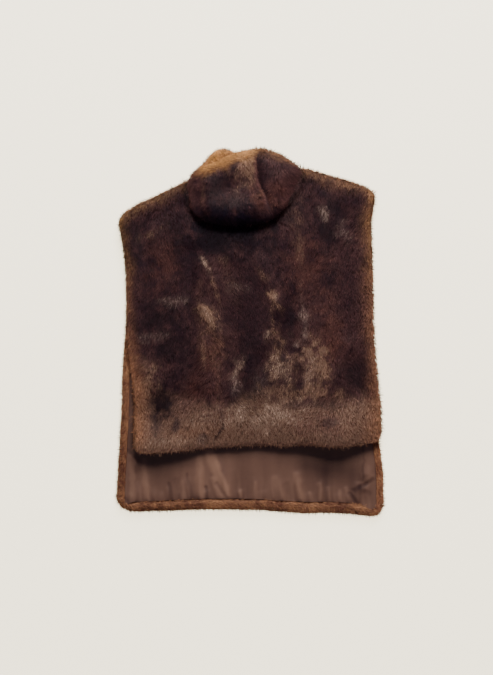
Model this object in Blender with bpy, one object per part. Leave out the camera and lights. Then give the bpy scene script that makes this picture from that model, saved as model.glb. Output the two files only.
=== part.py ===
"""Fur-fabric poncho with a roll collar, laid flat and face up on a level surface.

The poncho is a tabard: a short front and a longer back, sewn together along the shoulders and
open down both sides. The back lies fur side down. Its fur edge is turned in round a satin lining,
which is gathered into the hem. The front lies on the lining, fur side up, and the collar is a tube
that is turned down over the front and lies flat.

Each piece is cut as a rectangle of cloth with rounded corners and laid between four edge curves,
so a point on a piece has two places: (across, along) in the cut, and (x, y) on the surface. +X is
the wearer's left, +Y points to the neck and +Z is up. Sizes are in millimetres until a vertex is
placed.
"""

import math
from collections import namedtuple

import bmesh
import bpy
import numpy as np
from mathutils import Vector

MM = 0.001
PART_NAME = "fur_poncho"

# Levels above the surface. Pieces that lie on each other are SEAM apart.
SEAM = 0.4
BACK_TOP = 8.0
BORDER_TOP = 13.0
LINING_WALL = 1.5
LINING_BOTTOM = BACK_TOP + SEAM
LINING_TOP = LINING_BOTTOM + LINING_WALL
FRONT_TOP = 24.0
NECK_TOP = 22.0
ROLL_BOTTOM = NECK_TOP + SEAM
ROLL_TOP = 49.0

# An edge of a piece: its thin rim lies between two levels, and the pile turns over from there to
# the full underside and upper side within two reaches. Its points are (x, y) as laid. Side edges
# run from the hem to the top, hem and top edges from the wearer's right to the left.
Edge = namedtuple("Edge", "rim_low rim_high reach_low reach_high points")

FRONT_EDGES = {
    "right": Edge(15.5, 18.5, 7, 12, [
        (-228, -234), (-228, -158), (-230, -109), (-235, -59), (-242, -10), (-243, 62),
        (-246, 136), (-254, 190), (-260, 226)]),
    "left": Edge(15.5, 18.5, 7, 12, [
        (256, -213), (258, -164), (253, -111), (246, -39), (242, 35), (240, 121), (237, 215),
        (246, 273)]),
    "hem": Edge(14.5, 18.0, 9, 15, [
        (-228, -234), (-190, -236), (-153, -233), (-118, -229), (-80, -225), (-32, -223),
        (17, -220), (66, -222), (114, -219), (163, -224), (212, -219), (256, -213)]),
    "top": Edge(13.4, 16.0, 5, 14, [
        (-260, 226), (-226, 248), (-177, 271), (-138, 290), (-116, 301), (-80, 290),
        (-21, 283), (35, 292), (78, 318), (98, 323), (138, 312), (183, 299), (222, 286),
        (246, 273)]),
}
BACK_EDGES = {
    "right": Edge(4.5, 7.5, 5, 5, [
        (-261, -349), (-259, -295), (-255, -232), (-250, -135), (-248, -62), (-243, -8),
        (-240, 62), (-243, 136), (-251, 190), (-257, 225)]),
    "left": Edge(4.5, 7.5, 5, 5, [
        (258, -361), (258, -318), (257, -270), (250, -217), (246, -133), (239, -35),
        (236, 62), (236, 160), (234, 215), (244, 270)]),
    "hem": Edge(4.5, 7.5, 5, 5, [
        (-261, -349), (-228, -350), (-196, -349), (-153, -348), (-110, -346), (-65, -346),
        (-20, -346), (17, -347), (60, -350), (114, -353), (155, -352), (192, -354),
        (225, -358), (258, -361)]),
    "top": Edge(9.0, 12.6, 12, 5, [
        (-257, 225), (-226, 246), (-177, 269), (-138, 288), (-116, 299), (-69, 302),
        (-21, 305), (38, 311), (76, 316), (96, 321), (138, 310), (183, 297), (222, 284),
        (244, 270)]),
}
ROLL_EDGES = {
    "right": Edge(23.4, 25.6, 6, 36, [(-118, 266), (-121, 287), (-115, 306), (-101, 320)]),
    "left": Edge(23.4, 25.6, 6, 40, [(78, 268), (89, 287), (97, 303), (100, 318)]),
    "hem": Edge(29.0, 31.5, 14, 38, [
        (-118, 266), (-114, 244), (-100, 225), (-78, 215), (-45, 211), (-8, 211), (25, 215),
        (47, 226), (64, 244), (78, 268)]),
    "top": Edge(28.0, 31.0, 10, 26, [
        (-101, 320), (-76, 325), (-52, 337), (-28, 346), (-1, 353), (22, 357), (48, 349),
        (78, 332), (100, 318)]),
}
NAPE_EDGES = {
    "right": Edge(9.0, 13.0, 9, 9, [(-103, 303), (-103, 313), (-95, 322)]),
    "left": Edge(9.0, 13.0, 6, 6, [(70, 321), (73, 326), (70, 332)]),
    "hem": Edge(9.0, 13.0, 9, 9, [(-103, 303), (-69, 307), (-21, 310), (38, 316), (70, 321)]),
    "top": Edge(9.0, 13.0, 12, 13, [
        (-95, 322), (-80, 340), (-65, 353), (-50, 356), (-36, 350), (-15, 344), (15, 348),
        (46, 343), (70, 332)]),
}

# Near a corner the levels of its two edges blend over about this distance.
EDGE_BLEND = 4.0

# Corner radii of the cuts: hem right, hem left, top right and top left.
Corners = namedtuple("Corners", "hem_right hem_left top_right top_left")
FRONT_CORNERS = Corners(16, 12, 13, 10)
BACK_CORNERS = Corners(30, 22, 13, 10)
ROLL_CORNERS = Corners(26, 26, 24, 20)
NAPE_CORNERS = Corners(6, 6, 14, 6)

# Distances in from an edge at which the grid of each piece has its rings.
BACK_RINGS = (0, 0.5, 2, 5)
FRONT_RINGS = (0, 0.8, 3, 6.5, 12)
ROLL_RINGS = (0, 1, 3.5, 8, 14, 21)
NAPE_RINGS = (0, 1, 4, 9)

# The fur that is turned in round the lining: its widths, and how far it takes to step down.
BORDER_RIGHT = 13.0
BORDER_LEFT = 11.0
BORDER_HEM = 19.0
BORDER_SHOULDER = 12.0
BORDER_STEP = 3.0
LINING_CLEARANCE = 1.2
LINING_SHOULDER_CLEARANCE = 2.5

# The front rests on the fur border near its edges and on the lining further in. Both distances
# are from the back's edges.
REST_ON_BORDER = 22.0
REST_ON_LINING = 38.0

# Soft straight folds, with troughs below zero.
Fold = namedtuple("Fold", "from_x from_y to_x to_y half_width height")
FRONT_FOLDS = (
    Fold(-93, 137, -71, 82, 11, 3.0),
    Fold(-93, 47, -60, -6, 11, 5.0),
    Fold(-87, -25, -77, -103, 14, 3.5),
    Fold(-118, 160, -122, -125, 14, -4.0),
    Fold(-36, 121, -32, -100, 15, -4.0),
    Fold(22, 137, 52, 57, 12, 4.0),
    Fold(52, 57, 30, -25, 12, 4.0),
    Fold(79, 62, 77, -35, 14, -4.5),
    Fold(104, 20, 97, -64, 14, 3.5),
    Fold(186, 228, 192, 4, 16, -4.0),
    Fold(140, 262, 155, 225, 11, 3.0),
    Fold(170, 215, 184, 180, 10, 2.5),
    Fold(198, -55, 214, -117, 16, -4.0),
    Fold(-190, -133, -181, -182, 14, -5.0),
    Fold(-210, -64, -187, -103, 12, 3.0),
    Fold(-212, 196, -210, 136, 11, -3.0),
    Fold(-206, 214, -146, 252, 12, -2.5),
    Fold(-129, 276, -123, 258, 8, -3.0),
    Fold(-14, -105, -12, -135, 10, -3.5),
    Fold(-157, -129, -40, -135, 12, -2.0),
    Fold(60, -134, 180, -130, 12, -2.0),
)
ROLL_FOLDS = (
    Fold(-120, 250, -116, 312, 24, -9.0),
    Fold(92, 268, 106, 320, 30, -13.0),
    Fold(-66, 236, -6, 232, 20, 4.0),
    Fold(-98, 245, -97, 296, 7, -3.5),
    Fold(-87, 240, -88, 296, 8, 3.0),
    Fold(-40, 318, -15, 330, 16, 3.0),
    Fold(2, 246, 16, 262, 11, 3.5),
    Fold(52, 250, 62, 300, 13, 3.5),
    Fold(-60, 276, -30, 284, 16, -2.5),
)
LINING_FOLDS = (
    Fold(220, -215, 221, -288, 4.5, 3.0),
    Fold(-238, -222, -222, -262, 6.0, 3.0),
    Fold(206, -300, 228, -314, 5.0, 3.0),
    Fold(226, -282, 240, -270, 5.0, 2.2),
)

# The roll presses the front's pile down to its neck level, and the pile has its own height again
# this far outside the roll.
PRESSED_BY_ROLL = (2.0, 26.0)

# How high the front's hem is lifted off the lining, and how far above the hem that has faded.
HemLift = namedtuple("HemLift", "x lift")
HEM_LIFTS = (
    HemLift(-230, 11),
    HemLift(-190, 15),
    HemLift(-140, 10),
    HemLift(-90, 3),
    HemLift(-30, 2),
    HemLift(30, 2),
    HemLift(80, 5),
    HemLift(130, 14),
    HemLift(175, 18),
    HemLift(215, 8),
    HemLift(260, 1),
)
HEM_LIFT_FADE = 85.0

# Puckers where the lining is gathered into the hem. Each is placed by its x at the hem seam,
# runs up the lining for its length, and leans towards the wearer's left over that length.
Pucker = namedtuple("Pucker", "x length half_width height lean")
PUCKERS = (
    Pucker(-236, 24, 3.5, 2.5, 3),
    Pucker(-224, 46, 4.5, 3.0, 2),
    Pucker(-208, 66, 5.5, 3.0, 4),
    Pucker(-190, 30, 3.5, 2.5, -2),
    Pucker(-176, 22, 3.0, 2.0, 2),
    Pucker(-160, 38, 4.0, 3.0, -5),
    Pucker(-142, 26, 3.5, 2.0, 0),
    Pucker(-118, 50, 4.5, 3.5, -8),
    Pucker(-102, 78, 6.0, 3.5, 3),
    Pucker(-86, 24, 3.0, 3.5, -3),
    Pucker(-65, 44, 5.0, 2.5, -8),
    Pucker(-43, 92, 8.0, 4.0, -22),
    Pucker(-20, 24, 3.5, 3.0, -4),
    Pucker(6, 54, 4.0, 2.5, 2),
    Pucker(26, 24, 3.5, 2.0, 0),
    Pucker(44, 48, 4.5, 2.5, -5),
    Pucker(62, 56, 4.0, 3.0, -7),
    Pucker(97, 62, 6.5, 3.5, -10),
    Pucker(115, 22, 3.5, 2.0, -2),
    Pucker(138, 46, 5.0, 3.0, -2),
    Pucker(155, 38, 4.0, 2.5, -4),
    Pucker(174, 24, 3.5, 2.5, -2),
    Pucker(192, 30, 4.0, 3.0, -6),
    Pucker(210, 40, 5.0, 3.0, -6),
)
# Rows of the lining, as distances from the hem seam. Above the last it is flat.
PUCKER_ROWS = (0, 5, 11, 19, 30, 44, 60, 78, 96, 114)
PUCKER_COLUMN_GAP = 1.5
# A pucker has this share of its height at the seam, is full height at its crest's distance from
# it, and begins to fade at this share of its length.
PUCKER_AT_SEAM = 0.5
PUCKER_CREST = 8.0
PUCKER_FADE_START = 0.3
LINING_FLAT_ROWS = 19
# Further columns of the lining where no pucker has one, as x at the hem seam.
LINING_COLUMNS = (-244, -72, -8, 80, 88, 126, 223, 228, 233, 240)

# The crease that pinches the roll, as laid, from its lower edge to its top fold. It is sharp on
# the wearer's right and shallows towards the lower edge.
CreasePoint = namedtuple("CreasePoint", "x y")
ROLL_CREASE = (
    CreasePoint(38, 200),
    CreasePoint(32, 246),
    CreasePoint(25, 268),
    CreasePoint(16, 284),
    CreasePoint(12, 302),
    CreasePoint(10, 320),
    CreasePoint(9, 338),
    CreasePoint(11, 360),
)
CREASE_DEPTH = 12.0
CREASE_RIGHT_WIDTH = 4.0
CREASE_LEFT_WIDTH = 12.0
CREASE_LEFT_DROP = 3.0
CREASE_SHALLOWS = (228.0, 266.0)
CREASE_AT_LOWER_EDGE = 0.2
CREASE_COLUMNS = (-4.0, 0.0, 6.0, 14.0)

# Cells between the rings, across and along. The roll's are those on each side of its crease.
FRONT_CELLS = (31, 33)
BACK_CELLS = (20, 20)
ROLL_CELLS_RIGHT = 8
ROLL_CELLS_LEFT = 2
ROLL_CELLS_ALONG = 9
NAPE_CELLS = (13, 2)


def smooth_curve(points, steps=16):
    """Points closely along a Catmull-Rom curve, and how far along it each of them is."""
    knots = [np.array(point, float) for point in points]
    knots = [2 * knots[0] - knots[1], *knots, 2 * knots[-1] - knots[-2]]
    line = []
    for before, start, end, after in zip(knots, knots[1:], knots[2:], knots[3:]):
        for t in np.arange(steps) / steps:
            line.append(0.5 * (2 * start + (end - before) * t
                               + (2 * before - 5 * start + 4 * end - after) * t ** 2
                               + (3 * start - before - 3 * end + after) * t ** 3))
    line = np.array([*line, knots[-2]])
    travelled = np.concatenate([[0], np.cumsum(np.linalg.norm(np.diff(line, axis=0), axis=1))])
    return line, travelled


def ease(low, high, value):
    """0 below low, 1 above high, and smooth between them."""
    share = min(1.0, max(0.0, (value - low) / (high - low)))
    return share * share * (3 - 2 * share)


def turn_over(inset, reach):
    """Share of the full height at an inset from an edge that turns over within that reach."""
    if inset >= reach:
        return 1.0
    return math.sqrt(1 - (1 - inset / reach) ** 2)


def distance_to_line(x, y, line):
    """Distance from a place to the nearest point of a line of points."""
    start, end = line[:-1], line[1:]
    along = end - start
    offset = np.array([x, y]) - start
    length_squared = np.maximum((along ** 2).sum(axis=1), 1e-12)
    share = np.clip((along * offset).sum(axis=1) / length_squared, 0, 1)
    return float(np.linalg.norm(offset - share[:, None] * along, axis=1).min())


def inside(x, y, outline):
    """Whether a place is inside a closed outline: its ray to +X crosses it an odd number of times."""
    start, end = outline[:-1], outline[1:]
    spans = (start[:, 1] > y) != (end[:, 1] > y)
    start, end = start[spans], end[spans]
    crossing = start[:, 0] + (y - start[:, 1]) / (end[:, 1] - start[:, 1]) * (end[:, 0] - start[:, 0])
    return int((crossing > x).sum()) % 2 == 1


def fold_height(x, y, folds):
    """Summed height of soft straight folds at a place."""
    height = 0.0
    for fold in folds:
        line = np.array([(fold.from_x, fold.from_y), (fold.to_x, fold.to_y)], float)
        distance = distance_to_line(x, y, line)
        height += fold.height * math.exp(-(distance / fold.half_width) ** 2)
    return height


class Cut:
    """A rectangle of cloth with rounded corners, and where it lies between its four edges."""

    def __init__(self, edges, corners):
        self.edges = edges
        self.corners = corners
        self.curves = {name: smooth_curve(edge.points) for name, edge in edges.items()}
        self.width = math.dist(self.on_edge("right", 0.5), self.on_edge("left", 0.5))
        self.length = math.dist(self.on_edge("hem", 0.5), self.on_edge("top", 0.5))

    def on_edge(self, name, share):
        """The point at a share of an edge's length."""
        line, travelled = self.curves[name]
        place = share * travelled[-1]
        return np.array([np.interp(place, travelled, line[:, 0]),
                         np.interp(place, travelled, line[:, 1])])

    def round_corner(self, across, along):
        """Moves a place near a square corner of the cut to its rounded one."""
        at_left = across > self.width / 2
        at_top = along > self.length / 2
        radius = self.corners[2 * at_top + at_left]
        side_inset = self.width - across if at_left else across
        end_inset = self.length - along if at_top else along
        if max(side_inset, end_inset) < radius:
            inset = min(side_inset, end_inset)
            turn = math.radians(45)
            if side_inset <= end_inset:
                angle = turn * (radius - end_inset) / (radius - inset)
            else:
                angle = 2 * turn - turn * (radius - side_inset) / (radius - inset)
            side_inset = radius - (radius - inset) * math.cos(angle)
            end_inset = radius - (radius - inset) * math.sin(angle)
        return (self.width - side_inset if at_left else side_inset,
                self.length - end_inset if at_top else end_inset)

    def lay(self, across, along):
        """(x, y) of a place in the cut: a Coons patch between the four edges."""
        across, along = self.round_corner(across, along)
        u, v = across / self.width, along / self.length
        between_ends = (1 - v) * self.on_edge("hem", u) + v * self.on_edge("top", u)
        between_sides = (1 - u) * self.on_edge("right", v) + u * self.on_edge("left", v)
        from_corners = ((1 - v) * ((1 - u) * self.on_edge("hem", 0) + u * self.on_edge("hem", 1))
                        + v * ((1 - u) * self.on_edge("top", 0) + u * self.on_edge("top", 1)))
        return between_ends + between_sides - from_corners

    def edge_profile(self, x, y):
        """Rim levels and reaches at a place, from the edges that it is nearest to."""
        nearness = {}
        for name, (line, _) in self.curves.items():
            nearness[name] = (distance_to_line(x, y, line) + EDGE_BLEND) ** -3
        total = sum(nearness.values())
        fields = ("rim_low", "rim_high", "reach_low", "reach_high")
        return [sum(near * getattr(self.edges[name], field) for name, near in nearness.items()) / total
                for field in fields]


class Grid:
    """The places of a piece's vertices as laid, by column and row, and its outline."""

    def __init__(self, cut, columns, rows):
        """columns has the places across the cut for each row, rows the places along it."""
        self.cut = cut
        self.columns = columns
        self.plan = [[cut.lay(place, along) for place in across]
                     for across, along in zip(columns, rows)]
        self.last_row = len(self.plan) - 1
        self.last_column = len(self.plan[0]) - 1
        self.outline = np.array([*self.plan[0],
                                 *[row[-1] for row in self.plan],
                                 *self.plan[-1][::-1],
                                 *[row[0] for row in self.plan[::-1]]])

    def ring(self, column, row):
        """How many rings a vertex is in from the outline."""
        return min(column, self.last_column - column, row, self.last_row - row)

    def inset(self, column, row):
        """How far a vertex is in from the outline."""
        if self.ring(column, row) == 0:
            return 0.0
        return distance_to_line(*self.plan[row][column], self.outline)

    def pile_levels(self, column, row, underside, upper):
        """Levels of a pile's two sides at a vertex, where its edges turn over."""
        rim_low, rim_high, reach_low, reach_high = self.cut.edge_profile(*self.plan[row][column])
        inset = self.inset(column, row)
        low = rim_low + (underside - rim_low) * turn_over(inset, reach_low)
        high = rim_high + (upper - rim_high) * turn_over(inset, reach_high)
        return low, high


def ring_stations(size, rings, cells):
    """Places along one way of a cut: rings in from both ends and even cells between them."""
    middle = np.linspace(rings[-1], size - rings[-1], cells + 1)
    return [*rings[:-1], *middle, *[size - inset for inset in rings[-2::-1]]]


def build_piece(name, grid, levels, flat_faces, material, collection):
    """Makes a closed solid of a grid.

    levels(column, row) gives the levels of its underside and its upper side. flat_faces lists
    (level, first row) of level stretches, whose inner edges are dissolved."""
    mesh = bmesh.new()
    bmesh.ops.create_grid(mesh, x_segments=grid.last_column, y_segments=grid.last_row, size=0.5)
    mesh.verts.ensure_lookup_table()
    for vertex in mesh.verts:
        vertex.co.x = round((vertex.co.x + 0.5) * grid.last_column)
        vertex.co.y = round((vertex.co.y + 0.5) * grid.last_row)
    extruded = bmesh.ops.extrude_face_region(mesh, geom=mesh.faces[:])
    upper_side = {item for item in extruded["geom"] if isinstance(item, bmesh.types.BMVert)}
    heights = {}
    rows = {}
    for vertex in mesh.verts:
        column, row = int(vertex.co.x), int(vertex.co.y)
        if (column, row) not in heights:
            heights[column, row] = levels(column, row)
        x, y = grid.plan[row][column]
        z = heights[column, row][vertex in upper_side]
        vertex.co = Vector((x, y, z)) * MM
        rows[vertex] = row
    bmesh.ops.recalc_face_normals(mesh, faces=mesh.faces[:])
    for level, first_row in flat_faces:
        flat = [face for face in mesh.faces
                if all(abs(vertex.co.z - level * MM) < 1e-8 and rows[vertex] >= first_row
                       for vertex in face.verts)]
        bmesh.ops.dissolve_faces(mesh, faces=flat, use_verts=False)
    bmesh.ops.triangulate(mesh, faces=mesh.faces[:], quad_method="BEAUTY", ngon_method="BEAUTY")
    data = bpy.data.meshes.new(name)
    mesh.to_mesh(data)
    mesh.free()
    data.shade_smooth()
    data.materials.append(material)
    collection.objects.link(bpy.data.objects.new(name, data))


def cloth_material(name, colour, roughness):
    """A plain cloth colour. Colours are linear."""
    material = bpy.data.materials.new(name)
    material.use_nodes = True
    shader = material.node_tree.nodes["Principled BSDF"]
    shader.inputs["Base Color"].default_value = (*colour, 1.0)
    shader.inputs["Roughness"].default_value = roughness
    material.diffuse_color = (*colour, 1.0)
    return material


def build_back(cut, collection):
    """The back: fur underneath, its edge turned in over itself, and the lining's bed inside."""
    def insets(border, corner):
        return [*BACK_RINGS, border - BORDER_STEP, *np.linspace(border, corner, 4)]

    right = insets(BORDER_RIGHT, cut.corners.hem_right)
    left = insets(BORDER_LEFT, cut.corners.hem_left)
    hem = insets(BORDER_HEM, cut.corners.hem_right)
    top = insets(BORDER_SHOULDER, 1.5 * BORDER_SHOULDER)
    columns = [*right[:-1], *np.linspace(right[-1], cut.width - left[-1], BACK_CELLS[0] + 1),
               *[cut.width - inset for inset in left[-2::-1]]]
    rows = [*hem[:-1], *np.linspace(hem[-1], cut.length - top[-1], BACK_CELLS[1] + 1),
            *[cut.length - inset for inset in top[-2::-1]]]
    grid = Grid(cut, [columns] * len(rows), rows)
    bed_ring = len(BACK_RINGS) + 1

    def levels(column, row):
        if grid.ring(column, row) >= bed_ring:
            return 0.0, BACK_TOP
        return grid.pile_levels(column, row, 0.0, BORDER_TOP)

    material = cloth_material("golden brown fur", (0.19, 0.095, 0.045), 0.9)
    build_piece("back_panel", grid, levels, [(0.0, 0), (BACK_TOP, 0)], material, collection)


def build_lining(cut, collection):
    """The satin lining in its bed, puckered along the hem seam."""
    hem_start, hem_end = cut.on_edge("hem", 0)[0], cut.on_edge("hem", 1)[0]
    first_column = BORDER_RIGHT + LINING_CLEARANCE
    last_column = cut.width - BORDER_LEFT - LINING_CLEARANCE
    first_row = BORDER_HEM + LINING_CLEARANCE
    last_row = cut.length - BORDER_SHOULDER - LINING_SHOULDER_CLEARANCE
    rows = [*[first_row + distance for distance in PUCKER_ROWS],
            *np.linspace(first_row + PUCKER_ROWS[-1], last_row, LINING_FLAT_ROWS + 1)[1:]]

    def hem_x(across):
        return hem_start + across / cut.width * (hem_end - hem_start)

    def columns_at(risen):
        places = list(LINING_COLUMNS)
        for pucker in PUCKERS:
            crest = pucker.x + pucker.lean * min(1.0, risen / pucker.length)
            places += [crest - pucker.half_width, crest, crest + pucker.half_width]
        places = [(x - hem_start) / (hem_end - hem_start) * cut.width for x in sorted(places)]
        columns = [first_column]
        for place in places:
            columns.append(max(place, columns[-1] + PUCKER_COLUMN_GAP))
        columns.append(last_column)
        return columns

    grid = Grid(cut, [columns_at(along - first_row) for along in rows], rows)
    first_flat_row = len(PUCKER_ROWS) - 1

    def pucker_height(x, risen):
        height = 0.0
        for pucker in PUCKERS:
            crest = pucker.x + pucker.lean * min(1.0, risen / pucker.length)
            fade = 1 - ease(PUCKER_FADE_START * pucker.length, pucker.length, risen)
            rise = PUCKER_AT_SEAM + (1 - PUCKER_AT_SEAM) * ease(0, PUCKER_CREST, risen)
            height += pucker.height * rise * fade * math.exp(-((x - crest) / pucker.half_width) ** 2)
        return height

    def levels(column, row):
        if row >= first_flat_row:
            return LINING_BOTTOM, LINING_TOP
        lift = pucker_height(hem_x(grid.columns[row][column]), PUCKER_ROWS[row])
        lift += fold_height(*grid.plan[row][column], LINING_FOLDS)
        lift *= 1 - ease(PUCKER_ROWS[-3], PUCKER_ROWS[-1], PUCKER_ROWS[row])
        return LINING_BOTTOM + lift, LINING_TOP + lift

    flat = [(LINING_BOTTOM, first_flat_row), (LINING_TOP, first_flat_row)]
    material = cloth_material("taupe satin", (0.16, 0.085, 0.058), 0.45)
    build_piece("back_lining", grid, levels, flat, material, collection)


def build_front(cut, back, roll_outline, collection):
    """The front: a deep pile with soft folds, lifted here and there along its hem."""
    columns = ring_stations(cut.width, FRONT_RINGS, FRONT_CELLS[0])
    rows = ring_stations(cut.length, FRONT_RINGS, FRONT_CELLS[1])
    grid = Grid(cut, [columns] * len(rows), rows)
    hem_line, _ = cut.curves["hem"]
    back_edges = [back.curves[name][0] for name in ("right", "left", "top")]
    lift_x = [row.x for row in HEM_LIFTS]
    lift_height = [row.lift for row in HEM_LIFTS]

    def levels(column, row):
        x, y = grid.plan[row][column]
        from_hem = distance_to_line(x, y, hem_line)
        lift = float(np.interp(x, lift_x, lift_height)) * (1 - ease(0, HEM_LIFT_FADE, from_hem))
        from_back_edge = min(distance_to_line(x, y, edge) for edge in back_edges)
        on_lining = ease(REST_ON_BORDER, REST_ON_LINING, from_back_edge)
        underside = BORDER_TOP + SEAM + (LINING_TOP - BORDER_TOP) * on_lining
        from_roll = 0.0
        if not inside(x, y, roll_outline):
            from_roll = distance_to_line(x, y, roll_outline)
        open_pile = FRONT_TOP + fold_height(x, y, FRONT_FOLDS)
        upper = NECK_TOP + (open_pile - NECK_TOP) * ease(*PRESSED_BY_ROLL, from_roll)
        low, high = grid.pile_levels(column, row, underside, upper)
        return low + lift, high + lift

    material = cloth_material("dark brown fur", (0.075, 0.040, 0.027), 0.9)
    build_piece("front_panel", grid, levels, [(LINING_TOP + SEAM, 0)], material, collection)


def past_crease(x, y):
    """How far a place is to the wearer's left of the roll's crease."""
    return x - float(np.interp(y, [point.y for point in ROLL_CREASE],
                               [point.x for point in ROLL_CREASE]))


def roll_grid(cut):
    """The roll's grid, with columns that follow its crease."""
    rows = ring_stations(cut.length, ROLL_RINGS, ROLL_CELLS_ALONG)

    def columns_at(along):
        low, high = 0.0, cut.width
        while high - low > 0.01:
            crease = (low + high) / 2
            if past_crease(*cut.lay(crease, along)) < 0:
                low = crease
            else:
                high = crease
        by_crease = [crease + offset for offset in CREASE_COLUMNS]
        right = np.linspace(ROLL_RINGS[-1], by_crease[0], ROLL_CELLS_RIGHT + 1)
        left = np.linspace(by_crease[-1], cut.width - ROLL_RINGS[-1], ROLL_CELLS_LEFT + 1)
        return [*ROLL_RINGS[:-1], *right, *by_crease[1:-1], *left,
                *[cut.width - inset for inset in ROLL_RINGS[-2::-1]]]

    return Grid(cut, [columns_at(along) for along in rows], rows)


def build_roll(grid, collection):
    """The front half of the roll collar: a soft dome pinched by one deep crease."""
    def levels(column, row):
        x, y = grid.plan[row][column]
        past = past_crease(x, y)
        width = CREASE_LEFT_WIDTH if past > 0 else CREASE_RIGHT_WIDTH
        deep = CREASE_AT_LOWER_EDGE + (1 - CREASE_AT_LOWER_EDGE) * ease(*CREASE_SHALLOWS, y)
        pinch = CREASE_DEPTH * math.exp(-(past / width) ** 2)
        pinch += CREASE_LEFT_DROP * ease(0, CREASE_LEFT_WIDTH, past)
        upper = ROLL_TOP + fold_height(x, y, ROLL_FOLDS) - deep * pinch
        return grid.pile_levels(column, row, ROLL_BOTTOM, upper)

    material = cloth_material("collar fur", (0.065, 0.036, 0.025), 0.9)
    build_piece("collar_front", grid, levels, [(ROLL_BOTTOM, 0)], material, collection)


def build_nape(cut, collection):
    """The back half of the roll collar, which the front half lies on."""
    columns = ring_stations(cut.width, NAPE_RINGS, NAPE_CELLS[0])
    rows = ring_stations(cut.length, NAPE_RINGS, NAPE_CELLS[1])
    grid = Grid(cut, [columns] * len(rows), rows)

    def levels(column, row):
        return grid.pile_levels(column, row, 0.0, NECK_TOP)

    material = cloth_material("light golden fur", (0.30, 0.155, 0.07), 0.9)
    build_piece("collar_back", grid, levels, [(0.0, 0), (NECK_TOP, 0)], material, collection)


def main():
    for thing in list(bpy.data.objects):
        bpy.data.objects.remove(thing, do_unlink=True)
    collection = bpy.data.collections.new(PART_NAME)
    bpy.context.scene.collection.children.link(collection)
    back = Cut(BACK_EDGES, BACK_CORNERS)
    roll = roll_grid(Cut(ROLL_EDGES, ROLL_CORNERS))
    build_back(back, collection)
    build_lining(back, collection)
    build_front(Cut(FRONT_EDGES, FRONT_CORNERS), back, roll.outline, collection)
    build_roll(roll, collection)
    build_nape(Cut(NAPE_EDGES, NAPE_CORNERS), collection)


main()
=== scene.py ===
import math
from collections import namedtuple

import bpy
import numpy as np
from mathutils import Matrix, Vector
from mathutils.bvhtree import BVHTree


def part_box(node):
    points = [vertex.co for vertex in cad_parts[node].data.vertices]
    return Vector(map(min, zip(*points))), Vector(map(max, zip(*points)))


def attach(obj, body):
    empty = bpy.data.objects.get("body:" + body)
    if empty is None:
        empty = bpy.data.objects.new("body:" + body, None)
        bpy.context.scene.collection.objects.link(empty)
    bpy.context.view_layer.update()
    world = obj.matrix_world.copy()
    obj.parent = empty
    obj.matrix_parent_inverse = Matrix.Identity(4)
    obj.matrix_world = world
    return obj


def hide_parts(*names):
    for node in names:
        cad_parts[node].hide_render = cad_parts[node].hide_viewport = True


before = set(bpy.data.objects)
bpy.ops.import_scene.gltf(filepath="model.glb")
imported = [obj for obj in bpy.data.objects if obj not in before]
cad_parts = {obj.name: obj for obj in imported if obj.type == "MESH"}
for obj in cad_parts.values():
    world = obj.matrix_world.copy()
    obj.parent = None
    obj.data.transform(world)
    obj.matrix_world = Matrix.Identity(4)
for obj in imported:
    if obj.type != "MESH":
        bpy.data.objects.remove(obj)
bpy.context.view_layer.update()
bpy.ops.object.select_all(action="DESELECT")

# Back. One piece of fur-fabric, fur side down: a knitted ground with a dense pile, laid flat. Its
# sides and hem are turned in over the lining as a soft fur edge, sewn down along the inside.
MM = 0.001
GROUND_CELL_MM = 4.0
EDGE_PILE_MM = 3.4
DEEPEST_PILE_MM = 14.0
RIM_PILE_SHARE = 0.5
INNER_RIM_SHARE = 0.5
PRESSED_SHARE = 0.1
PRESSED_IN_FROM_EDGE_MM = (9, 14)

# How a fur is grown: its number of hairs, the shortest and the longest, how wide they are, how
# large the locks that they fall into, and how far they gather in one.
Hairs = namedtuple("Hairs", "count length_mm width_mm lock_mm gather")
EDGE_HAIRS = Hairs(56000, (7.0, 11.0), 0.8, 7.0, 0.12)
# What all furs here share: how steeply a hair may rise and how far it sways, how much further and
# denser the pile stands where it faces sideways, and how many hairs stray or catch the light.
HAIR_STEEPEST = 0.92
HAIR_SWAY = 0.2
ROOT_SUNK_MM = 0.4
LOWEST_HAIR_MM = 0.3
TIPS_UNEVEN_MM = 0.27
FRINGE_LONGER = 7
FRINGE_MM = 9.0
FRINGE_DENSITY = 5.0
FRINGE_GLOW = 0.55
STRAY_SHARE = 0.17
GLINT_SHARE = 0.14
GLINT_BRIGHTER, OTHERS_DARKER = 1.75, 0.92
PILE_SHADING = 0.65

EDGE_PALE, EDGE_DEEP, EDGE_DARK = "#b9815a", "#724534", "#3e261c"
UNDERFUR_BROWN = "#1e0f10"
UNDERFUR_SHADE = 0.55
UNDERFUR_GRAIN_MM = 2.5


def linear(code):
    """Linear RGB of an sRGB hex colour."""
    parts = np.array([int(code[i:i + 2], 16) / 255 for i in (1, 3, 5)])
    return np.where(parts <= 0.04045, parts / 12.92, ((parts + 0.055) / 1.055) ** 2.4)


def soft_step(low, high, values):
    """0 below low, 1 above high and smooth between them."""
    share = np.clip((values - low) / (high - low), 0, 1)
    return share * share * (3 - 2 * share)


def mix(colours, other, share):
    """Colours moved towards another colour by a share, which is its own at every root."""
    return colours + (other - colours) * share[:, None]


def unit(vectors):
    """Vectors made one long."""
    return vectors / np.maximum(np.linalg.norm(vectors, axis=1), 1e-6)[:, None]


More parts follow.
